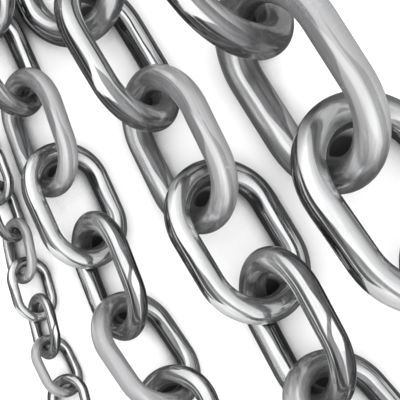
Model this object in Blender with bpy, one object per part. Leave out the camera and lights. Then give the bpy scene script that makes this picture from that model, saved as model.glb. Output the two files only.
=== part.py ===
"""Heap of steel link chain: four cut lengths in four wire sizes, lying side by side."""

import math

import bmesh
import bpy
from mathutils import Matrix, Vector
from mathutils.bvhtree import BVHTree

# Link proportions, as multiples of the wire's diameter
INNER_LENGTH = 4.53
BEND_RADIUS = 1.87

# A faceted wire with the cross-section area of the round one
SIDES = 8
SECTION_REACH = math.sqrt(math.pi / (SIDES / 2 * math.sin(math.tau / SIDES)))
SECTION_FLAT = SECTION_REACH * math.cos(math.pi / SIDES)

# Clearance between two links that touch, and the steps that find where they touch
TOUCH_GAP = 0.0003
COARSE_STEP = 0.02
HALVINGS = 12

# How each link lies, over a run of six links, in degrees: its lean up from the floor, and its
# swing off the run's own course. A positive lean lifts the leg on the left of someone who walks
# down the run, and a positive swing turns the link to that person's right.
LEANS = (-57.0, 54.0, -29.0, 60.0, -36.0, 31.0)
SWINGS = (2.0, 7.0, 2.0, 5.0, -8.0, 4.0)
ANCHOR_PHASE = 2

STEEL_COLOUR = (0.60, 0.61, 0.62, 1.0)
STEEL_ROUGHNESS = 0.22

# Each length of chain: wire diameter, number of links, the anchor link with its centre on the
# floor and its heading in degrees below the X axis, how many links before the anchor lie in line
# with it, the turn in degrees of each link before those, and the steps around a bend
CHAINS = (
    {"wire": 0.006, "links": 19, "anchor": 10, "place": (-0.0979, -0.0544), "heading": 72.1,
     "straight": 1, "turn": 3.4, "bend_steps": 6},
    {"wire": 0.012, "links": 9, "anchor": 4, "place": (-0.0724, -0.0062), "heading": 64.3,
     "straight": 2, "turn": 0.0, "bend_steps": 6},
    {"wire": 0.016, "links": 7, "anchor": 3, "place": (0.0234, -0.0292), "heading": 57.7,
     "straight": 3, "turn": 0.0, "bend_steps": 8},
    {"wire": 0.022, "links": 5, "anchor": 2, "place": (0.1145, -0.0082), "heading": 54.2,
     "straight": 0, "turn": 2.5, "bend_steps": 8},
)


def clear_scene():
    for item in list(bpy.data.objects):
        bpy.data.objects.remove(item, do_unlink=True)


def steel_material(name):
    material = bpy.data.materials.new(name)
    material.use_nodes = True
    shader = material.node_tree.nodes["Principled BSDF"]
    shader.inputs["Base Color"].default_value = STEEL_COLOUR
    shader.inputs["Roughness"].default_value = STEEL_ROUGHNESS
    shader.inputs["Metallic"].default_value = 1.0
    return material


def link_path(wire, bend_steps):
    """Centre line of a flat link along X: each point, with its outward direction."""
    radius = BEND_RADIUS * wire
    reach = (INNER_LENGTH + 1.0) * wire / 2.0 - radius
    path = []
    for side in (1.0, -1.0):
        for step in range(bend_steps + 1):
            angle = math.pi * step / bend_steps - math.pi / 2.0
            outward = Vector((side * math.cos(angle), side * math.sin(angle), 0.0))
            path.append((Vector((side * reach, 0.0, 0.0)) + radius * outward, outward))
    return path


def link_shape(wire, lean, bend_steps):
    """A closed oval ring of wire about the origin, leaning about X, with a flat side down."""
    shape = bmesh.new()
    up = Vector((0.0, 0.0, 1.0))
    reach = SECTION_REACH * wire / 2.0
    first_corner = math.radians(abs(lean) - 90.0) + math.pi / SIDES
    rings = []
    for centre, outward in link_path(wire, bend_steps):
        ring = []
        for corner in range(SIDES):
            angle = first_corner + math.tau * corner / SIDES
            offset = math.cos(angle) * outward + math.sin(angle) * up
            ring.append(shape.verts.new(centre + reach * offset))
        rings.append(ring)
    for index, ring in enumerate(rings):
        following = rings[(index + 1) % len(rings)]
        for corner in range(SIDES):
            beside = (corner + 1) % SIDES
            shape.faces.new((ring[corner], following[corner], following[beside], ring[beside]))
    bmesh.ops.recalc_face_normals(shape, faces=shape.faces)
    tilt = Matrix.Rotation(math.radians(lean), 3, "X")
    bmesh.ops.rotate(shape, verts=shape.verts, matrix=tilt)
    return shape


def resting_height(wire, lean):
    """Height of a link's centre when its lower leg lies on the floor."""
    rise = BEND_RADIUS * wire * math.sin(math.radians(abs(lean)))
    return rise + SECTION_FLAT * wire / 2.0


def link_phase(chain, index):
    """Which of the six ways of lying a link has."""
    return (index - chain["anchor"] + ANCHOR_PHASE) % len(LEANS)


def link_lean(chain, index):
    return LEANS[link_phase(chain, index)]


def run_course(chain, index):
    """Angle of the run from X at a link, in radians."""
    turned = max(chain["anchor"] - chain["straight"] - index, 0)
    return -math.radians(chain["heading"] - chain["turn"] * turned)


def link_heading(chain, index):
    """Angle of a link's long axis from X, in radians."""
    return run_course(chain, index) - math.radians(SWINGS[link_phase(chain, index)])


def link_tree(shape, heading, centre):
    """The link's surface in its place, for finding where two links touch."""
    place = Matrix.Translation(centre) @ Matrix.Rotation(heading, 4, "Z")
    points = [place @ vertex.co for vertex in shape.verts]
    faces = [[vertex.index for vertex in face.verts] for face in shape.faces]
    return BVHTree.FromPolygons(points, faces)


def touching_distance(chain, shapes, first, second):
    """How far apart two neighbours' centres lie when pulled until they all but touch."""
    wire = chain["wire"]
    heights = [resting_height(wire, link_lean(chain, index)) for index in (first, second)]
    headings = [link_heading(chain, index) for index in (first, second)]
    fixed = link_tree(shapes[first], headings[0], Vector((0.0, 0.0, heights[0])))
    course = (run_course(chain, first) + run_course(chain, second)) / 2.0

    def overlaps(distance):
        centre = Vector((distance * math.cos(course), distance * math.sin(course), heights[1]))
        return bool(fixed.overlap(link_tree(shapes[second], headings[1], centre)))

    far = INNER_LENGTH * wire
    near = far
    while overlaps(near):
        far = near
        near -= COARSE_STEP * wire
    for _ in range(HALVINGS):
        middle = (near + far) / 2.0
        if overlaps(middle):
            far = middle
        else:
            near = middle
    return near - TOUCH_GAP


def link_centres(chain, shapes):
    """Centre of each link, worked out both ways from the anchor."""
    centres = [None] * chain["links"]
    anchor = chain["anchor"]
    height = resting_height(chain["wire"], link_lean(chain, anchor))
    centres[anchor] = Vector((*chain["place"], height))
    for direction, stop in ((-1, -1), (1, chain["links"])):
        for index in range(anchor + direction, stop, direction):
            previous = index - direction
            first, second = min(index, previous), max(index, previous)
            distance = direction * touching_distance(chain, shapes, first, second)
            course = (run_course(chain, index) + run_course(chain, previous)) / 2.0
            centre = centres[previous].copy()
            centre.x += distance * math.cos(course)
            centre.y += distance * math.sin(course)
            centre.z = resting_height(chain["wire"], link_lean(chain, index))
            centres[index] = centre
    return centres


def link_object(name, shape, material):
    mesh = bpy.data.meshes.new(name)
    shape.to_mesh(mesh)
    mesh.materials.append(material)
    mesh.shade_smooth()
    mesh.set_sharp_from_angle(angle=math.radians(60.0))
    item = bpy.data.objects.new(name, mesh)
    bpy.context.scene.collection.objects.link(item)
    return item


def build_chain(chain):
    """One cut length of chain, a named object for each link."""
    size = round(chain["wire"] * 1000)
    material = steel_material(f"steel_{size:02d}mm")
    shapes = []
    for index in range(chain["links"]):
        shape = link_shape(chain["wire"], link_lean(chain, index), chain["bend_steps"])
        shape.verts.index_update()
        shapes.append(shape)
    items = []
    for index, centre in enumerate(link_centres(chain, shapes)):
        item = link_object(f"link_{size:02d}mm_{index + 1:02d}", shapes[index], material)
        item.location = centre
        item.rotation_euler.z = link_heading(chain, index)
        items.append(item)
    for shape in shapes:
        shape.free()
    return items


def centre_on_origin(items):
    """Moves the heap so that the middle of its outline stands over the origin."""
    bpy.context.view_layer.update()
    corners = [item.matrix_world @ vertex.co for item in items for vertex in item.data.vertices]
    for axis in (0, 1):
        values = [corner[axis] for corner in corners]
        middle = (min(values) + max(values)) / 2.0
        for item in items:
            item.location[axis] -= middle


def main():
    clear_scene()
    items = []
    for chain in CHAINS:
        items += build_chain(chain)
    centre_on_origin(items)


main()
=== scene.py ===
import math

import bmesh
import bpy
import numpy as np
from mathutils import Euler, Matrix, Vector


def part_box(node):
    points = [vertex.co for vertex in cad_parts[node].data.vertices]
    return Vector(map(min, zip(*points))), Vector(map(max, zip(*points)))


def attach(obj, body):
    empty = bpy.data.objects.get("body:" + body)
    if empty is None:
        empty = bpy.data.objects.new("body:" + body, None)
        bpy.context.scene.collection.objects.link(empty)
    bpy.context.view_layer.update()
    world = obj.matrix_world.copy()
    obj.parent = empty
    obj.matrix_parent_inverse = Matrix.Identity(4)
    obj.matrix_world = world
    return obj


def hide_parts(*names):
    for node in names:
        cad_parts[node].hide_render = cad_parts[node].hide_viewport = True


bl_info = {
    "name": "Steel link chain",
    "version": (1, 0, 0),
    "blender": (4, 5, 0),
    "location": "View3D > Sidebar > Chain",
    "description": "Cut lengths of bright steel link chain, with their finish and a small studio",
    "category": "Add Mesh",
}

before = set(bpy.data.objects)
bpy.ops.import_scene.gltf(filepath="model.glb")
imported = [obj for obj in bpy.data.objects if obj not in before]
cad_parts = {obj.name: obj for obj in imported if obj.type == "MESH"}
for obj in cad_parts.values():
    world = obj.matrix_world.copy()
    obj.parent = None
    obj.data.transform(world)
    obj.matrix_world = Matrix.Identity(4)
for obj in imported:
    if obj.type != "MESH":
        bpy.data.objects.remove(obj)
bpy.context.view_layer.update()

BODY = "root"

# Which of the six ways of lying the first link of each size has, counted from 0
FIRST_WAY = {6: 4, 12: 4, 16: 5, 22: 0}

# The six ways that repeat down each length. The lower and the upper leg are those towards the
# bottom left and the top right. Along each leg run a painted dark reflection band, a painted dark
# reflection line and a pale painted highlight, in that order. Each is given at the leg's top, middle
# and bottom by where it starts and ends across the leg's width, from -1 at the lower edge to 1 at the
# upper one, and then by its depth. One more pair says where it ends up around the bottom bend, if it
# changes there. Satin is how unpolished the lower and the upper leg are, a rougher finish that also
# carries a flat grey of painted reflection; matt the same for the top and the bottom bend, with a
# darker grey of painted shade; and crowns how dark the painted reflection streaks on the bends are.
NO_STRIPE = ((2.0, 2.0), (2.0, 2.0), (2.0, 2.0), 0.0)
WAYS = (
    {"lower": (((-1.0, -0.35), (-1.0, -0.28), (-1.0, -0.82), 0.85, (-1.0, -0.05)),
               ((0.20, -0.40), (0.00, -0.15), (-0.18, 0.40), 0.80),
               ((0.20, -0.90), (-0.25, -0.50), (-0.76, -0.22), 0.85, (0.10, -0.60))),
     "upper": (((-1.0, 0.00), (-1.0, -0.10), (-1.0, -0.20), 0.90),
               ((0.55, 0.60), (0.50, 0.60), (0.30, 0.60), 0.40), NO_STRIPE),
     "satin": (0.0, 0.0), "matt": (0.2, 0.7), "crowns": (0.45, 0.95)},
    {"lower": (((-0.15, 0.95), (-0.15, 0.75), (0.15, 0.35), 0.90),
               ((-1.0, -0.80), (-1.0, -0.75), (-1.0, -0.60), 0.60),
               ((-0.75, -0.30), (-0.70, -0.30), (-0.50, -0.15), 0.50)),
     "upper": (((-1.0, -0.30), (-1.0, -0.42), (-1.0, -0.80), 0.75),
               ((0.10, 0.10), (0.04, 0.14), (0.06, 0.42), 0.55),
               ((-0.45, -0.45), (-0.45, -0.15), (-0.48, -0.05), 0.22)),
     "satin": (0.5, 1.0), "matt": (0.8, 0.6), "crowns": (0.60, 0.55)},
    {"lower": (((-1.0, -0.66), (-1.0, -0.62), (-1.0, -0.80), 0.70, (-1.4, -1.2)),
               ((-0.52, -0.36), (-0.50, -0.30), (-0.42, -0.12), 0.85, (-0.26, -0.10)),
               ((-0.42, 0.02), (-0.30, -0.40), (-0.70, -0.75), 0.80, (-1.2, -0.27))),
     "upper": (((-1.0, -0.55), (-1.0, -0.48), (-1.0, -0.60), 0.85),
               ((-0.42, -0.10), (-0.38, -0.15), (-0.30, -0.10), 0.80), NO_STRIPE),
     "satin": (0.0, 0.0), "matt": (0.2, 0.25), "crowns": (0.62, 0.25)},
    {"lower": (((-0.10, 1.00), (0.10, 1.00), (0.20, 1.00), 0.92),
               ((-1.0, -0.85), (-1.0, -0.85), (-1.0, -0.80), 0.50),
               ((-0.70, -0.30), (-0.65, -0.15), (-0.60, -0.20), 0.60)),
     "upper": (((0.05, 1.00), (0.30, 1.00), (0.56, 1.00), 0.95, (0.14, 1.00)),
               ((0.45, 0.75), (0.34, 0.60), (-0.50, -0.06), 0.85, (-0.64, 0.08)),
               ((1.00, 0.20), (0.66, 0.52), (-0.02, 0.54), 0.85, (0.60, 0.00))),
     "satin": (0.0, 0.0), "matt": (0.9, 0.4), "crowns": (0.85, 0.65)},
    {"lower": (((0.45, 1.00), (0.55, 1.00), (0.70, 1.00), 0.50), NO_STRIPE, NO_STRIPE),
     "upper": (((-1.0, -0.05), (-1.0, 0.00), (-1.0, -0.15), 0.88),
               ((0.35, 0.42), (0.35, 0.48), (0.20, 0.50), 0.35), NO_STRIPE),
     "satin": (1.0, 0.0), "matt": (0.8, 0.5), "crowns": (0.75, 0.55)},
    {"lower": (((-1.0, -0.50), (-1.0, -0.50), (-1.0, -0.30), 0.75),
               ((0.30, 0.50), (0.25, 0.50), (0.05, 0.50), 0.55), NO_STRIPE),
     "upper": (((0.30, 0.90), (0.20, 0.80), (0.10, 0.60), 0.75),
               ((-1.0, -0.70), (-1.0, -0.75), (-1.0, -0.70), 0.70), NO_STRIPE),
     "satin": (0.0, 0.0), "matt": (0.2, 0.7), "crowns": (0.40, 0.75)},
)

# The stripes in the order of that table, all painted reflection (a dark band, a dark line and a pale
# highlight), what is marked for each on the wire, and how far along the leg its top and its bottom
# values are reached
STRIPES = ("film", "line", "pale")
STRIPE_PARTS = ("from", "to", "depth")
STRIPE_END = 1.2

# Other marks on each point of the wire, and how far on along the pattern the next link starts
MARKS = ("wire_side", "across", "crown_rub_and_painted_shade", "satin", "matt", "crown_painted_reflection")
NEXT_LINK_SHIFT = 0.37

# Fades, each as the slope and the start of a smooth step: from the lower to the upper leg, onto a
# leg's stripes and its satin, onto the wire's inner side, and by the angle from a bend's tip
UPPER_FADE = (0.7, 0.5)
STRIPE_FADE = (1.8, -0.4)
SATIN_FADE = (1.7, -0.35)
INNER_FADE = (1.6, -0.5)
RUB_FADE = (-1.0 / 1.2, 1.0)
MATT_FADE = (-1.0, 1.5)
CROWN_FADE = (-1.0, 1.3)

# How close two points of the wire are merged, in wire diameters
MERGE_SHARE = 0.002

# Patterns that follow the wire: how often each repeats along and through it, per wire diameter,
# a shift that sets it apart from the others, its detail, its roughness and its swirl
PATTERNS = {
    "drawing lines": ((0.55, 16.0, 16.0), 0.0, 3.0, 0.6, 0.0),
    "slow waver": ((0.42, 1.5, 1.5), 0.0, 1.0, 0.4, 0.0),
    "stripe waver": ((0.35, 0.8, 0.8), 0.0, 1.5, 0.55, 0.0),
    "stripe grain": ((0.8, 9.0, 9.0), 5.0, 3.0, 0.55, 0.0),
    "fanned streaks": ((0.40, 2.6, 2.6), 9.0, 3.0, 0.55, 0.7),
    "fanned gleams": ((0.35, 2.2, 2.2), 23.0, 2.0, 0.55, 0.7),
}
GRAIN_SPREAD = 0.7
GRAIN_LEAST = 0.6
SCRATCH_STRETCH = (9.0, 1.1, 5.0)

# Where a pattern turns into a mask, as positions and levels
SMUDGE_EDGE = ((0.42, 0.0), (0.68, 1.0))
SCRATCH_EDGE = ((0.0, 1.0), (0.035, 0.0))
STREAK_EDGE = ((0.45, 0.25), (0.53, 1.0))
GLEAM_EDGE = ((0.53, 0.0), (0.60, 1.0))
FINE_LINE_EDGE = ((0.35, 0.0), (0.75, 1.0))

# The layers of colour over the bright steel, from first to last: colour, mask and strength. The
# smudges, scratches and faint drawing lines are marks of handling and making. The rest is painted
# light: a flat grey of painted reflection on the satin legs, a darker grey of painted shade on the
# bends, painted highlight streaks on the bends, painted dark reflection bands and lines, pale painted
# highlights, painted dark reflection streaks on the bends and painted shade on the inner side of
# bend tips
LAYERS = (
    ("dull", "smudge", 0.35),
    ("satin_painted_tone", "satin", 1.0),
    ("bend_grey", "matt", 1.0),
    ("bright", "gleam", 0.9),
    ("film", "film", 1.0),
    ("pale", "pale", 1.0),
    ("film", "crown_painted_reflection", 1.0),
    ("painted_inner_shade", "crown_rub_and_painted_shade", 0.6),
    ("dull", "scratch", 0.5),
    ("film", "fine_lines", 0.16),
)

# Roughness added by smudges and on the bends, and that of the rubbed places with its strength
SMUDGE_ROUGHER = 0.07
MATT_ROUGHER = 0.12
RUB_ROUGHNESS = 0.4
RUB_STRENGTH = 0.5

# How metallic the bends and the satin places are, and the relief of the wire's surface
MATT_METAL = 0.72
SATIN_METAL = 0.55
LINE_DEPTH = 0.03
WAVER_DEPTH = 1.0
RELIEF_STRENGTH = 0.6
RELIEF_PER_WIRE = 0.10

# Floor: roughness and gloss, the reach, the samples and the levels of the shadow close to what
# lies on it, its colour in the hollows below the links, and its colour as the metal mirrors it
FLOOR_ROUGHNESS = 0.9
FLOOR_GLOSS = 0.1
SHADOW_REACH = 0.05
SHADOW_SAMPLES = 16
SHADOW_LEVELS = ((0.10, 0.02), (0.24, 0.22), (0.35, 1.0))
BLACK = (0.0, 0.0, 0.0)
HOLLOW_COLOUR = (0.006, 0.006, 0.006)
MIRRORED_FLOOR = (0.10, 0.10, 0.10)

# Spots of shade below the links: the sizes that have them, their height above the floor, their
# corners, and how deep they are with a slight change down the run
SHADED_SIZES = (12, 16, 22)
SPOT_HEIGHT = 0.0001
SPOT_CORNERS = 24
SPOT_DEPTH = 0.95
SPOT_SLOPE = 0.05

# Sky that the metal mirrors: the course of the lengths in degrees, and the light from one side of
# it over the top to the other
COURSE = -58.0
SKY_STRIPS = ((0.0, 0.35), (0.12, 0.65), (0.30, 0.95), (0.44, 1.3), (0.70, 1.3),
              (0.77, 0.16), (0.88, 0.10), (0.90, 1.0), (0.925, 1.0), (0.945, 0.08))

# Camera: its turn in degrees, the point that it looks at, and the width of its sensor
CAMERA_TURN = (8.02, 1.46, -0.39)
LOOKS_AT = (-0.0178, 0.0204, 0.020)
SENSOR_WIDTH = 36.0

# The sockets of a mixing node for its two values and its result, for numbers and for colours
MIX_SOCKETS = {"FLOAT": (2, 3, 0), "RGBA": (6, 7, 2)}


# Sizes and colours

class ChainLinkSettings(bpy.types.PropertyGroup):
    bend_radius: bpy.props.FloatProperty(
        name="Bend radius",
        description="Radius of the wire's centre line around each end of a link, in wire diameters",
        default=1.87, min=1.2, max=3.0)
    wire_facets: bpy.props.IntProperty(
        name="Facets around the wire",
        description="How many flat sides the round wire is made of",
        default=40, min=12, max=96)
    bend_steps: bpy.props.IntProperty(
        name="Steps around a bend",
        description="How many short pieces make up each half turn",
        default=36, min=8, max=96)
    leg_steps: bpy.props.IntProperty(
        name="Steps along a leg",
        description="How many pieces each straight leg is cut into",
        default=20, min=2, max=96)


class SteelSettings(bpy.types.PropertyGroup):
    bright: bpy.props.FloatVectorProperty(
        name="Bright steel",
        description="Colour of the polished metal",
        subtype="COLOR", size=3, min=0.0, max=1.0, default=(0.80, 0.805, 0.81))
    dull: bpy.props.FloatVectorProperty(
        name="Dull steel",
        description="Colour of the metal where a thin grey film is left on it",
        subtype="COLOR", size=3, min=0.0, max=1.0, default=(0.56, 0.565, 0.575))
    # Painted dark reflection: the colour of the dark bands and lines painted along the legs and of the
    # dark streaks painted on the bends. The faint drawing lines use it too.
    film: bpy.props.FloatVectorProperty(
        name="Dark film",
        description="Colour of the thin dark film that runs along some of the legs",
        subtype="COLOR", size=3, min=0.0, max=1.0, default=(0.11, 0.11, 0.114))
    # Painted shade: the near-black painted on the inner side of each bend's tip, where the links meet
    painted_inner_shade: bpy.props.FloatVectorProperty(
        name="Painted inner shade",
        description="Colour of the dark film in the hollows around the rubbed places",
        subtype="COLOR", size=3, min=0.0, max=1.0, default=(0.04, 0.04, 0.042))
    polish: bpy.props.FloatProperty(
        name="Polished roughness",
        description="Roughness of the brightest metal",
        default=0.07, min=0.02, max=1.0)
    # Painted highlight: the colour of the long pale patches painted along the legs
    pale: bpy.props.FloatVectorProperty(
        name="Pale patches",
        description="Colour of the long pale patches where the metal is freshly rubbed",
        subtype="COLOR", size=3, min=0.0, max=1.0, default=(0.90, 0.90, 0.905))
    # Painted reflection: a flat grey painted on the satin legs, which are also rougher and less
    # metallic
    satin_painted_tone: bpy.props.FloatVectorProperty(
        name="Satin painted tone",
        description="Colour of the legs that were left unpolished",
        subtype="COLOR", size=3, min=0.0, max=1.0, default=(0.36, 0.36, 0.365))
    # Painted shade: a darker grey painted on the bends, which are also rougher and less metallic
    bend_grey: bpy.props.FloatVectorProperty(
        name="Bend grey",
        description="Colour of the bends where a thin grey film is left on the polished metal",
        subtype="COLOR", size=3, min=0.0, max=1.0, default=(0.40, 0.40, 0.405))
    satin: bpy.props.FloatProperty(
        name="Satin roughness",
        description="Roughness of the legs that were left unpolished",
        default=0.42, min=0.02, max=1.0)


class StudioSettings(bpy.types.PropertyGroup):
    floor_colour: bpy.props.FloatVectorProperty(
        name="Floor",
        description="Colour of the pale floor",
        subtype="COLOR", size=3, min=0.0, max=1.0, default=(0.93, 0.93, 0.93))
    floor_size: bpy.props.FloatProperty(
        name="Floor size",
        description="Side of the square floor",
        default=9.0, min=1.0, max=50.0, unit="LENGTH")
    shade_core: bpy.props.FloatProperty(
        name="Shade core",
        description="Radius of the deepest shade below two links that meet, in wire diameters",
        default=0.40, min=0.1, max=2.0)
    shade_reach: bpy.props.FloatProperty(
        name="Shade reach",
        description="Radius at which that shade has faded, in wire diameters",
        default=1.00, min=0.2, max=3.0)
    sky_strength: bpy.props.FloatProperty(
        name="Sky strength",
        description="Brightness of the even light all around",
        default=2.4, min=0.0, max=10.0)
    camera_distance: bpy.props.FloatProperty(
        name="Camera distance",
        description="From the camera to the point that it looks at",
        default=2.0, min=0.3, max=20.0, unit="LENGTH")
    camera_lens: bpy.props.FloatProperty(
        name="Lens",
        description="Focal length of the camera",
        default=307.4, min=10.0, max=1000.0, unit="CAMERA")


# Placing

def link_pose(node):
    """Matrix from a link's own axes to its place: X along the link, Y towards its higher leg."""
    points = np.array([vertex.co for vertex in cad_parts[node].data.vertices])
    low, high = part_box(node)
    centre = (low + high) / 2.0
    offsets = points - np.array(centre)
    directions = np.linalg.eigh(offsets.T @ offsets)[1]
    along = Vector(directions[:, 2])
    across = Vector(directions[:, 1])
    if along.x < 0.0:
        along.negate()
    if across.z < 0.0:
        across.negate()
    normal = along.cross(across)
    turn = Matrix((along, across, normal)).transposed().to_4x4()
    return Matrix.Translation(centre) @ turn


def link_length(node, pose):
    """Outer length of a link."""
    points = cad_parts[node].data.vertices
    back = pose.inverted()
    return 2.0 * max((back @ vertex.co).x for vertex in points)


def chain_nodes(size):
    return sorted(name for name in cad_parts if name.startswith(f"link_{size:02d}mm_"))


# Link geometry

def draw_leg(ring, end, step, steps):
    """Draws the wire on from its end in equal steps along a straight leg."""
    for _ in range(steps):
        edges = [part for part in end if isinstance(part, bmesh.types.BMEdge)]
        drawn = bmesh.ops.extrude_edge_only(ring, edges=edges)["geom"]
        corners = [part for part in drawn if isinstance(part, bmesh.types.BMVert)]
        bmesh.ops.translate(ring, vec=step, verts=corners)
        end = corners + [part for part in drawn if isinstance(part, bmesh.types.BMEdge)
                         and all(corner in corners for corner in part.verts)]
    return end


def bent_wire(wire, outer_length, settings):
    """A closed oval ring of round wire about the origin, long axis along X."""
    radius = settings.bend_radius * wire
    reach = outer_length / 2.0 - wire / 2.0 - radius
    ring = bmesh.new()
    section = bmesh.ops.create_circle(
        ring, cap_ends=False, segments=settings.wire_facets, radius=wire / 2.0)
    upright = Matrix.Rotation(math.pi / 2.0, 4, "Y")
    place = Matrix.Translation((reach, -radius, 0.0)) @ upright
    bmesh.ops.transform(ring, matrix=place, verts=section["verts"])
    end = ring.verts[:] + ring.edges[:]
    for side in (1.0, -1.0):
        spun = bmesh.ops.spin(
            ring, geom=end, cent=(side * reach, 0.0, 0.0), axis=(0.0, 0.0, 1.0),
            dvec=(0.0, 0.0, 0.0), angle=math.pi, steps=settings.bend_steps, use_merge=False,
            use_duplicate=False)
        step = Vector((-side * 2.0 * reach / settings.leg_steps, 0.0, 0.0))
        end = draw_leg(ring, spun["geom_last"], step, settings.leg_steps)
    bmesh.ops.remove_doubles(ring, verts=ring.verts, dist=wire * MERGE_SHARE)
    bmesh.ops.recalc_face_normals(ring, faces=ring.faces)
    return ring, reach, radius


# Marks on the wire

def smooth_step(value):
    value = max(0.0, min(1.0, value))
    return value * value * (3.0 - 2.0 * value)


def faded(value, fade):
    slope, start = fade
    return smooth_step(value * slope + start)


def blended(lower, upper, share):
    return lower + (upper - lower) * share


def stripe_at(stripe, place):
    """A stripe's start, end and depth at a place along the leg, from -1 at its top to 1."""
    top, middle, bottom, depth, *bend = stripe
    if place < 0.0:
        first, second = top, middle
        share = smooth_step(1.0 + place / STRIPE_END)
    elif bend and place > STRIPE_END:
        first, second = bottom, bend[0]
        share = smooth_step((place - STRIPE_END) / STRIPE_END)
    else:
        first, second = middle, bottom
        share = smooth_step(place / STRIPE_END)
    return blended(first[0], second[0], share), blended(first[1], second[1], share), depth


def upper_side_of(turn):
    """Direction across the run towards the upper legs, and 1 or -1 for the leg that lies there."""
    along = turn @ Vector((1.0, 0.0, 0.0))
    upper_side = Vector((-along.y, along.x, 0.0)).normalized()
    high_leg = turn @ Vector((0.0, 1.0, 0.0))
    return upper_side, 1.0 if high_leg.dot(upper_side) > 0.0 else -1.0


def place_on_wire(point, reach, radius):
    """A point's angle from its bend's tip, how far out it lies, its normal and its run."""
    x, y, z = point
    past = max(abs(x) - reach, 0.0)
    angle = math.atan2(abs(y), past) if past else math.pi / 2.0
    outward = math.hypot(past, y) - radius
    away = Vector((math.copysign(past, x), y, 0.0)).normalized()
    normal = (outward * away + Vector((0.0, 0.0, z))).normalized()
    quarter = math.pi / 2.0 * radius
    tip = angle * radius if past else quarter + reach - abs(x)
    run = tip if x > 0.0 else 2.0 * (quarter + reach) - tip
    return angle, outward, normal, run


def stripe_marks(way, place, side, upper):
    """Start, end and depth of each stripe at one point of the wire."""
    marks = {}
    for stripe, lower_leg, upper_leg in zip(STRIPES, way["lower"], way["upper"]):
        levels = zip(STRIPE_PARTS, stripe_at(lower_leg, place), stripe_at(upper_leg, place))
        for part, low, high in levels:
            marks[f"{stripe}_{part}"] = blended(low, high, upper)
        marks[f"{stripe}_depth"] *= faded(abs(side), STRIPE_FADE)
    return marks


def mark_wire(ring, wire, reach, radius, pose, index, way):
    """Writes where each point lies on the wire, how it is finished, and where its painted light goes.
    """
    names = [*MARKS, *(f"{stripe}_{part}" for stripe in STRIPES for part in STRIPE_PARTS)]
    floats = {name: ring.verts.layers.float.new(name) for name in names}
    wire_run = ring.verts.layers.float_vector.new("wire_run")
    turn = pose.to_3x3()
    upper_side, upper_leg = upper_side_of(turn)
    for vertex in ring.verts:
        x, y, z = vertex.co
        angle, outward, normal, run = place_on_wire(vertex.co, reach, radius)
        vertex[wire_run] = Vector((run + index * NEXT_LINK_SHIFT, outward, z))
        side = upper_leg * y / radius
        upper = faded(side, UPPER_FADE)
        inner = max(0.0, -outward / (wire / 2.0))
        end = 1 if x > 0.0 else 0
        marks = stripe_marks(way, x / reach, side, upper)
        marks["wire_side"] = side
        marks["across"] = (turn @ normal).dot(upper_side)
        # Painted shade on the inner side of each bend's tip, where the wire is also rubbed rougher
        marks["crown_rub_and_painted_shade"] = faded(inner, INNER_FADE) * faded(angle, RUB_FADE)
        # Satin: a rougher finish that also carries a flat grey of painted reflection
        marks["satin"] = faded(abs(side), SATIN_FADE) * blended(*way["satin"], upper)
        # Matt: a rougher finish that also carries a darker grey of painted shade
        marks["matt"] = way["matt"][end] * faded(angle, MATT_FADE)
        # Painted dark reflection streaks on the bends
        marks["crown_painted_reflection"] = way["crowns"][end] * faded(angle, CROWN_FADE)
        for name, value in marks.items():
            vertex[floats[name]] = value


def add_object(name, shape, material):
    """Makes an object of a finished shape."""
    mesh = bpy.data.meshes.new(name)
    shape.to_mesh(mesh)
    shape.free()
    mesh.materials.append(material)
    item = bpy.data.objects.new(name, mesh)
    bpy.context.scene.collection.objects.link(item)
    return item


def link_piece(node, wire, index, way, settings, material):
    pose = link_pose(node)
    ring, reach, radius = bent_wire(wire, link_length(node, pose), settings)
    mark_wire(ring, wire, reach, radius, pose, index, way)
    bmesh.ops.transform(ring, matrix=pose, verts=ring.verts)
    piece = add_object("round_" + node, ring, material)
    piece.data.shade_smooth()
    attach(piece, BODY)
    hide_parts(node)
    return piece


# Shader nodes

def add_node(tree, kind, label="", **values):
    node = tree.nodes.new(kind)
    node.label = label
    for name, value in values.items():
        if hasattr(node, name):
            setattr(node, name, value)
        else:
            node.inputs[name.replace("_", " ")].default_value = value
    return node


def put(tree, value, socket):
    """Links another node's output to a socket, or sets the socket to a fixed value."""
    if isinstance(value, bpy.types.NodeSocket):
        tree.links.new(value, socket)
    else:
        socket.default_value = value


def rgba(colour):
    return (*colour, 1.0)


def attribute(tree, name, socket="Fac"):
    return add_node(tree, "ShaderNodeAttribute", attribute_name=name).outputs[socket]


def maths(tree, operation, first, second, **values):
    node = add_node(tree, "ShaderNodeMath", operation=operation, **values)
    put(tree, first, node.inputs[0])
    put(tree, second, node.inputs[1])
    return node.outputs[0]


def vector_maths(tree, operation, first, second):
    node = add_node(tree, "ShaderNodeVectorMath", operation=operation)
    put(tree, first, node.inputs[0])
    put(tree, second, node.inputs["Scale" if operation == "SCALE" else 1])
    return node.outputs["Value" if operation == "DOT_PRODUCT" else "Vector"]


def mix(tree, kind, first, second, factor):
    node = add_node(tree, "ShaderNodeMix", data_type=kind)
    first_socket, second_socket, result = MIX_SOCKETS[kind]
    put(tree, first, node.inputs[first_socket])
    put(tree, second, node.inputs[second_socket])
    put(tree, factor, node.inputs[0])
    return node.outputs[result]


def ramp(tree, value, stops, label=""):
    node = add_node(tree, "ShaderNodeValToRGB", label)
    points = node.color_ramp.elements
    while len(points) < len(stops):
        points.new(0.5)
    for point, (position, level) in zip(points, stops):
        point.position = position
        point.color = rgba((level, level, level))
    put(tree, value, node.inputs["Fac"])
    return node.outputs["Color"]


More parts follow.
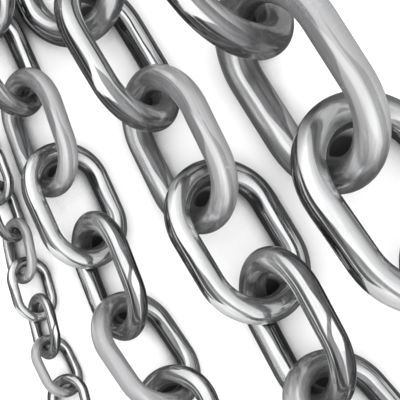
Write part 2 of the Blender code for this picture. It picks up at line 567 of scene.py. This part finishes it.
def new_group(name, inputs, outputs):
    """A node group of number sockets, with what it is given and what it puts out."""
    group = bpy.data.node_groups.new(name, "ShaderNodeTree")
    for socket, default in inputs.items():
        made = group.interface.new_socket(
            name=socket, in_out="INPUT", socket_type="NodeSocketFloat")
        made.default_value = default
    for socket in outputs:
        group.interface.new_socket(name=socket, in_out="OUTPUT", socket_type="NodeSocketFloat")
    given = add_node(group, "NodeGroupInput").outputs
    return group, given, add_node(group, "NodeGroupOutput").inputs


def placed_group(tree, group, **values):
    return add_node(tree, "ShaderNodeGroup", node_tree=group, **values).outputs


def in_wires(tree, place, wire):
    """A place counted in wire diameters."""
    return vector_maths(tree, "SCALE", place, maths(tree, "DIVIDE", 1.0, wire))


def wire_pattern(tree, name, wire):
    """Noise that follows the wire round its bends and differs between the two legs."""
    stretch, shift, detail, roughness, swirl = PATTERNS[name]
    place = in_wires(tree, attribute(tree, "wire_run", "Vector"), wire)
    noise = add_node(tree, "ShaderNodeTexNoise", name, noise_dimensions="4D", Scale=1.0,
                     Detail=detail, Roughness=roughness, Distortion=swirl)
    put(tree, vector_maths(tree, "MULTIPLY", place, stretch), noise.inputs["Vector"])
    put(tree, maths(tree, "ADD", attribute(tree, "wire_side"), shift), noise.inputs["W"])
    return noise.outputs["Fac"]


# Finish and painted light

def drawn_wire_group():
    """Long faint lines and a slow waver left along the wire by drawing and rolling."""
    if "drawn_wire" in bpy.data.node_groups:
        return bpy.data.node_groups["drawn_wire"]
    group, given, out = new_group(
        "drawn_wire", {"Wire": 0.016, "Line Depth": 0.2, "Waver Depth": 1.0},
        ("Height", "Lines"))
    lines = wire_pattern(group, "drawing lines", given["Wire"])
    waver = wire_pattern(group, "slow waver", given["Wire"])
    deep = maths(group, "MULTIPLY", lines, given["Line Depth"])
    slow = maths(group, "MULTIPLY", waver, given["Waver Depth"])
    put(group, maths(group, "ADD", deep, slow), out["Height"])
    put(group, lines, out["Lines"])
    return group


def handling_group():
    """Cloudy smudges and short scratches from links that knock against each other."""
    if "handling" in bpy.data.node_groups:
        return bpy.data.node_groups["handling"]
    group, given, out = new_group("handling", {"Wire": 0.016}, ("Smudge", "Scratch"))
    place = add_node(group, "ShaderNodeTexCoord").outputs["Object"]
    place = in_wires(group, place, given["Wire"])
    cloud = add_node(group, "ShaderNodeTexNoise", "smudges", Scale=0.8, Detail=4.0, Roughness=0.6)
    put(group, place, cloud.inputs["Vector"])
    smudge = ramp(group, cloud.outputs["Fac"], SMUDGE_EDGE)
    curl = add_node(group, "ShaderNodeTexNoise", "curl of the scratches", Scale=1.3, Detail=2.0)
    put(group, place, curl.inputs["Vector"])
    curled = vector_maths(group, "ADD", place, curl.outputs["Color"])
    cells = add_node(group, "ShaderNodeTexVoronoi", "scratches", feature="DISTANCE_TO_EDGE",
                     Scale=1.0)
    streak = vector_maths(group, "MULTIPLY", curled, SCRATCH_STRETCH)
    put(group, streak, cells.inputs["Vector"])
    thin = ramp(group, cells.outputs["Distance"], SCRATCH_EDGE)
    put(group, smudge, out["Smudge"])
    put(group, maths(group, "MULTIPLY", thin, smudge), out["Scratch"])
    return group


def past_edge(tree, place, start, softness):
    """0 before an edge across the wire and 1 past it, with a soft change between."""
    node = add_node(tree, "ShaderNodeMapRange", interpolation_type="SMOOTHSTEP")
    put(tree, place, node.inputs["Value"])
    put(tree, maths(tree, "SUBTRACT", start, softness), node.inputs["From Min"])
    put(tree, maths(tree, "ADD", start, softness), node.inputs["From Max"])
    return node.outputs["Result"]


def stripe_mask(tree, name, place, grain, softness):
    """One stripe along the legs, between the edges that are marked on the wire."""
    started = past_edge(tree, place, attribute(tree, name + "_from"), softness)
    ended = past_edge(tree, place, attribute(tree, name + "_to"), softness)
    band = maths(tree, "MULTIPLY", started, maths(tree, "SUBTRACT", 1.0, ended))
    deep = maths(tree, "MULTIPLY", band, attribute(tree, name + "_depth"))
    return maths(tree, "MULTIPLY", deep, grain)


def painted_reflection_group():
    """Painted reflections and highlights along each leg, and fanned painted streaks on the bends."""
    if "painted_reflections" in bpy.data.node_groups:
        return bpy.data.node_groups["painted_reflections"]
    group, given, out = new_group(
        "painted_reflections", {"Wire": 0.016, "Waver": 0.50, "Softness": 0.05},
        ("Painted Dark Reflection", "Pale", "Crown Painted Reflection", "Gleam"))
    wire = given["Wire"]
    waver = maths(group, "SUBTRACT", wire_pattern(group, "stripe waver", wire), 0.5)
    waver = maths(group, "MULTIPLY", waver, given["Waver"])
    place = maths(group, "ADD", attribute(group, "across"), waver)
    grain = maths(group, "MULTIPLY", wire_pattern(group, "stripe grain", wire), GRAIN_SPREAD)
    grain = maths(group, "ADD", grain, GRAIN_LEAST)
    # Painted reflections along the legs: dark bands, dark lines and pale highlights
    film, line, pale = (
        stripe_mask(group, name, place, grain, given["Softness"]) for name in STRIPES)
    # Painted dark reflection streaks fanned over the bends
    streaks = ramp(group, wire_pattern(group, "fanned streaks", wire), STREAK_EDGE)
    # Painted highlight streaks fanned over the grey bends
    gleams = ramp(group, wire_pattern(group, "fanned gleams", wire), GLEAM_EDGE)
    put(group, maths(group, "MAXIMUM", film, line), out["Painted Dark Reflection"])
    put(group, pale, out["Pale"])
    put(group, maths(group, "MULTIPLY", streaks, attribute(group, "crown_painted_reflection")),
        out["Crown Painted Reflection"])
    put(group, maths(group, "MULTIPLY", gleams, attribute(group, "matt")), out["Gleam"])
    return group


def part_of(tree, mask, strength):
    return maths(tree, "MULTIPLY", mask, strength, use_clamp=True)


def steel_masks(tree, wire):
    """All that changes over the surface of a link, by name."""
    drawn = placed_group(tree, drawn_wire_group(), Wire=wire, Line_Depth=LINE_DEPTH,
                         Waver_Depth=WAVER_DEPTH)
    handled = placed_group(tree, handling_group(), Wire=wire)
    painted_reflection_masks = placed_group(tree, painted_reflection_group(), Wire=wire)
    masks = {name: attribute(tree, name) for name in ("crown_rub_and_painted_shade", "satin", "matt")}
    masks["height"] = drawn["Height"]
    masks["fine_lines"] = ramp(tree, drawn["Lines"], FINE_LINE_EDGE, "fine lines")
    masks["smudge"] = handled["Smudge"]
    masks["scratch"] = handled["Scratch"]
    masks["film"] = painted_reflection_masks["Painted Dark Reflection"]
    masks["pale"] = painted_reflection_masks["Pale"]
    masks["crown_painted_reflection"] = painted_reflection_masks["Crown Painted Reflection"]
    masks["gleam"] = painted_reflection_masks["Gleam"]
    # The pale painted highlights are made as rough and as little metallic as the satin legs
    masks["unpolished"] = maths(tree, "MAXIMUM", masks["satin"], masks["pale"])
    return masks


def steel_colour(tree, steel, masks):
    colour = rgba(steel.bright)
    for paint, name, strength in LAYERS:
        mask = masks[name] if strength == 1.0 else part_of(tree, masks[name], strength)
        colour = mix(tree, "RGBA", colour, rgba(getattr(steel, paint)), mask)
    return colour


def steel_roughness(tree, steel, masks):
    rough = mix(tree, "FLOAT", steel.polish, steel.polish + SMUDGE_ROUGHER, masks["smudge"])
    rough = mix(tree, "FLOAT", rough, steel.polish + MATT_ROUGHER, masks["matt"])
    rough = mix(tree, "FLOAT", rough, steel.satin, masks["unpolished"])
    rubbed = part_of(tree, masks["crown_rub_and_painted_shade"], RUB_STRENGTH)
    return mix(tree, "FLOAT", rough, RUB_ROUGHNESS, rubbed)


def bright_steel(size, wire):
    """Polished chain steel for one wire size, with its painted reflections, highlights and shade."""
    steel = bpy.context.scene.chain_steel
    material = bpy.data.materials.new(f"bright_steel_{size:02d}mm")
    material.use_nodes = True
    tree = material.node_tree
    shader = tree.nodes["Principled BSDF"].inputs
    masks = steel_masks(tree, wire)
    metal = mix(tree, "FLOAT", 1.0, MATT_METAL, masks["matt"])
    metal = mix(tree, "FLOAT", metal, SATIN_METAL, masks["unpolished"])
    relief = add_node(tree, "ShaderNodeBump", Strength=RELIEF_STRENGTH,
                      Distance=wire * RELIEF_PER_WIRE)
    put(tree, masks["height"], relief.inputs["Height"])
    put(tree, steel_colour(tree, steel, masks), shader["Base Color"])
    put(tree, steel_roughness(tree, steel, masks), shader["Roughness"])
    put(tree, metal, shader["Metallic"])
    put(tree, relief.outputs["Normal"], shader["Normal"])
    return material


def build_chain(size):
    """The links of one size, each on its own packed link."""
    wire = size / 1000.0
    settings = bpy.context.scene.chain_link
    material = bright_steel(size, wire)
    for index, node in enumerate(chain_nodes(size)):
        way = WAYS[(index + FIRST_WAY[size]) % len(WAYS)]
        piece = link_piece(node, wire, index, way, settings, material)


# Studio

def floor_material(studio):
    """Pale floor, darker close to what lies on it, and almost black where it is marked as shade."""
    material = bpy.data.materials.new("pale_floor")
    material.use_nodes = True
    tree = material.node_tree
    shader = tree.nodes["Principled BSDF"].inputs
    shader["Roughness"].default_value = FLOOR_ROUGHNESS
    shader["Specular IOR Level"].default_value = FLOOR_GLOSS
    near = add_node(tree, "ShaderNodeAmbientOcclusion", samples=SHADOW_SAMPLES,
                    Distance=SHADOW_REACH)
    shadow = ramp(tree, near.outputs["AO"], SHADOW_LEVELS)
    colour = mix(tree, "RGBA", rgba(BLACK), rgba(studio.floor_colour), shadow)
    soft = add_node(tree, "ShaderNodeMapRange", "soft edge", interpolation_type="SMOOTHSTEP")
    put(tree, attribute(tree, "shade"), soft.inputs["Value"])
    colour = mix(tree, "RGBA", colour, rgba(HOLLOW_COLOUR), soft.outputs["Result"])
    mirrored = add_node(tree, "ShaderNodeLightPath").outputs["Is Glossy Ray"]
    colour = mix(tree, "RGBA", colour, rgba(MIRRORED_FLOOR), mirrored)
    put(tree, colour, shader["Base Color"])
    return material


def studio_floor(studio, material):
    shape = bmesh.new()
    bmesh.ops.create_grid(shape, x_segments=2, y_segments=2, size=studio.floor_size / 2.0)
    floor = add_object("floor", shape, material)


def meeting_place(first, second, wire):
    """The point on the floor below where two links meet, and the first link's direction."""
    ends = []
    for node, way in ((first, 1.0), (second, -1.0)):
        pose = link_pose(node)
        inner = link_length(node, pose) / 2.0 - wire
        ends.append(pose @ Vector((way * inner, 0.0, 0.0)))
    middle = (ends[0] + ends[1]) / 2.0
    middle.z = SPOT_HEIGHT
    down = link_pose(first).to_3x3() @ Vector((1.0, 0.0, 0.0))
    down.z = 0.0
    return middle, down.normalized()


def shade_spot(shape, shade, middle, down, wire, studio):
    """A round spot of shade that fades out around its core."""
    core = bmesh.ops.create_circle(
        shape, cap_ends=True, segments=SPOT_CORNERS, radius=studio.shade_core * wire,
        matrix=Matrix.Translation(middle))["verts"]
    rim = list({edge for vertex in core for edge in vertex.link_edges})
    grown = bmesh.ops.extrude_edge_only(shape, edges=rim)["geom"]
    outer = [part for part in grown if isinstance(part, bmesh.types.BMVert)]
    spread = studio.shade_reach / studio.shade_core
    bmesh.ops.scale(shape, vec=(spread, spread, 1.0), verts=outer,
                    space=Matrix.Translation(-middle))
    for vertex in core:
        offset = (vertex.co - middle).normalized()
        vertex[shade] = SPOT_DEPTH + SPOT_SLOPE * offset.dot(down)
    for vertex in outer:
        vertex[shade] = 0.0


def hollow_shade(studio, material):
    """Soft shade on the floor below each place where two links meet."""
    shape = bmesh.new()
    shade = shape.verts.layers.float.new("shade")
    for size in SHADED_SIZES:
        wire = size / 1000.0
        nodes = chain_nodes(size)
        for first, second in zip(nodes, nodes[1:]):
            middle, down = meeting_place(first, second, wire)
            shade_spot(shape, shade, middle, down, wire, studio)
    bmesh.ops.recalc_face_normals(shape, faces=shape.faces)
    shaded = add_object("hollow_shade", shape, material)


def studio_sky(studio):
    """Even light, with strips of light and dark along the lengths that only the metal mirrors."""
    world = bpy.data.worlds.new("studio")
    bpy.context.scene.world = world
    world.use_nodes = True
    tree = world.node_tree
    course = math.radians(COURSE)
    direction = add_node(tree, "ShaderNodeTexCoord").outputs["Generated"]
    across = vector_maths(
        tree, "DOT_PRODUCT", direction, (math.sin(course), -math.cos(course), 0.0))
    parts = add_node(tree, "ShaderNodeSeparateXYZ")
    put(tree, direction, parts.inputs[0])
    angle = maths(tree, "ARCTAN2", across, parts.outputs["Z"])
    turn = add_node(tree, "ShaderNodeMapRange", From_Min=-math.pi / 2.0, From_Max=math.pi / 2.0)
    put(tree, angle, turn.inputs["Value"])
    strips = ramp(tree, turn.outputs["Result"], SKY_STRIPS)
    mirrored = add_node(tree, "ShaderNodeLightPath").outputs["Is Glossy Ray"]
    even = (studio.sky_strength,) * 3
    light = mix(tree, "RGBA", rgba(even), strips, mirrored)
    put(tree, light, tree.nodes["Background"].inputs["Color"])


def studio_camera(studio):
    data = bpy.data.cameras.new("camera")
    data.lens = studio.camera_lens
    data.sensor_width = SENSOR_WIDTH
    camera = bpy.data.objects.new("camera", data)
    camera.rotation_euler = Euler([math.radians(angle) for angle in CAMERA_TURN])
    back = camera.rotation_euler.to_matrix() @ Vector((0.0, 0.0, 1.0))
    camera.location = Vector(LOOKS_AT) + studio.camera_distance * back
    bpy.context.scene.collection.objects.link(camera)
    bpy.context.scene.camera = camera


# Operators

class CHAIN_OT_studio(bpy.types.Operator):
    """Makes the floor, the light and the camera"""
    bl_idname = "chain.studio"
    bl_label = "Studio"

    def execute(self, context):
        studio = context.scene.chain_studio
        material = floor_material(studio)
        studio_floor(studio, material)
        hollow_shade(studio, material)
        studio_sky(studio)
        studio_camera(studio)
        context.scene.view_settings.view_transform = "Standard"
        return {"FINISHED"}


class CHAIN_OT_links_06mm(bpy.types.Operator):
    """Makes the 6 mm links"""
    bl_idname = "chain.links_06mm"
    bl_label = "6 mm chain"

    def execute(self, context):
        build_chain(6)
        return {"FINISHED"}


class CHAIN_OT_links_12mm(bpy.types.Operator):
    """Makes the 12 mm links"""
    bl_idname = "chain.links_12mm"
    bl_label = "12 mm chain"

    def execute(self, context):
        build_chain(12)
        return {"FINISHED"}


class CHAIN_OT_links_16mm(bpy.types.Operator):
    """Makes the 16 mm links"""
    bl_idname = "chain.links_16mm"
    bl_label = "16 mm chain"

    def execute(self, context):
        build_chain(16)
        return {"FINISHED"}


class CHAIN_OT_links_22mm(bpy.types.Operator):
    """Makes the 22 mm links"""
    bl_idname = "chain.links_22mm"
    bl_label = "22 mm chain"

    def execute(self, context):
        build_chain(22)
        return {"FINISHED"}


class CHAIN_PT_sidebar(bpy.types.Panel):
    """Lists the sizes and the steps"""
    bl_idname = "CHAIN_PT_sidebar"
    bl_label = "Steel link chain"
    bl_space_type = "VIEW_3D"
    bl_region_type = "UI"
    bl_category = "Chain"

    def draw(self, context):
        layout = self.layout
        for group in (context.scene.chain_link, context.scene.chain_steel, context.scene.chain_studio):
            column = layout.column()
            for name in group.__annotations__:
                column.prop(group, name)
        for operator in OPERATORS:
            layout.operator(operator.bl_idname)


SETTINGS = (ChainLinkSettings, SteelSettings, StudioSettings)
OPERATORS = (CHAIN_OT_studio, CHAIN_OT_links_06mm, CHAIN_OT_links_12mm, CHAIN_OT_links_16mm,
             CHAIN_OT_links_22mm)
CLASSES = (*SETTINGS, *OPERATORS, CHAIN_PT_sidebar)


def register():
    for kind in CLASSES:
        bpy.utils.register_class(kind)
    bpy.types.Scene.chain_link = bpy.props.PointerProperty(type=ChainLinkSettings)
    bpy.types.Scene.chain_steel = bpy.props.PointerProperty(type=SteelSettings)
    bpy.types.Scene.chain_studio = bpy.props.PointerProperty(type=StudioSettings)


def unregister():
    del bpy.types.Scene.chain_studio
    del bpy.types.Scene.chain_steel
    del bpy.types.Scene.chain_link
    for kind in reversed(CLASSES):
        bpy.utils.unregister_class(kind)


def main():
    register()
    bpy.ops.chain.studio()
    bpy.ops.chain.links_06mm()
    bpy.ops.chain.links_12mm()
    bpy.ops.chain.links_16mm()
    bpy.ops.chain.links_22mm()
    bpy.context.view_layer.update()


if __name__ == "__main__":
    main()
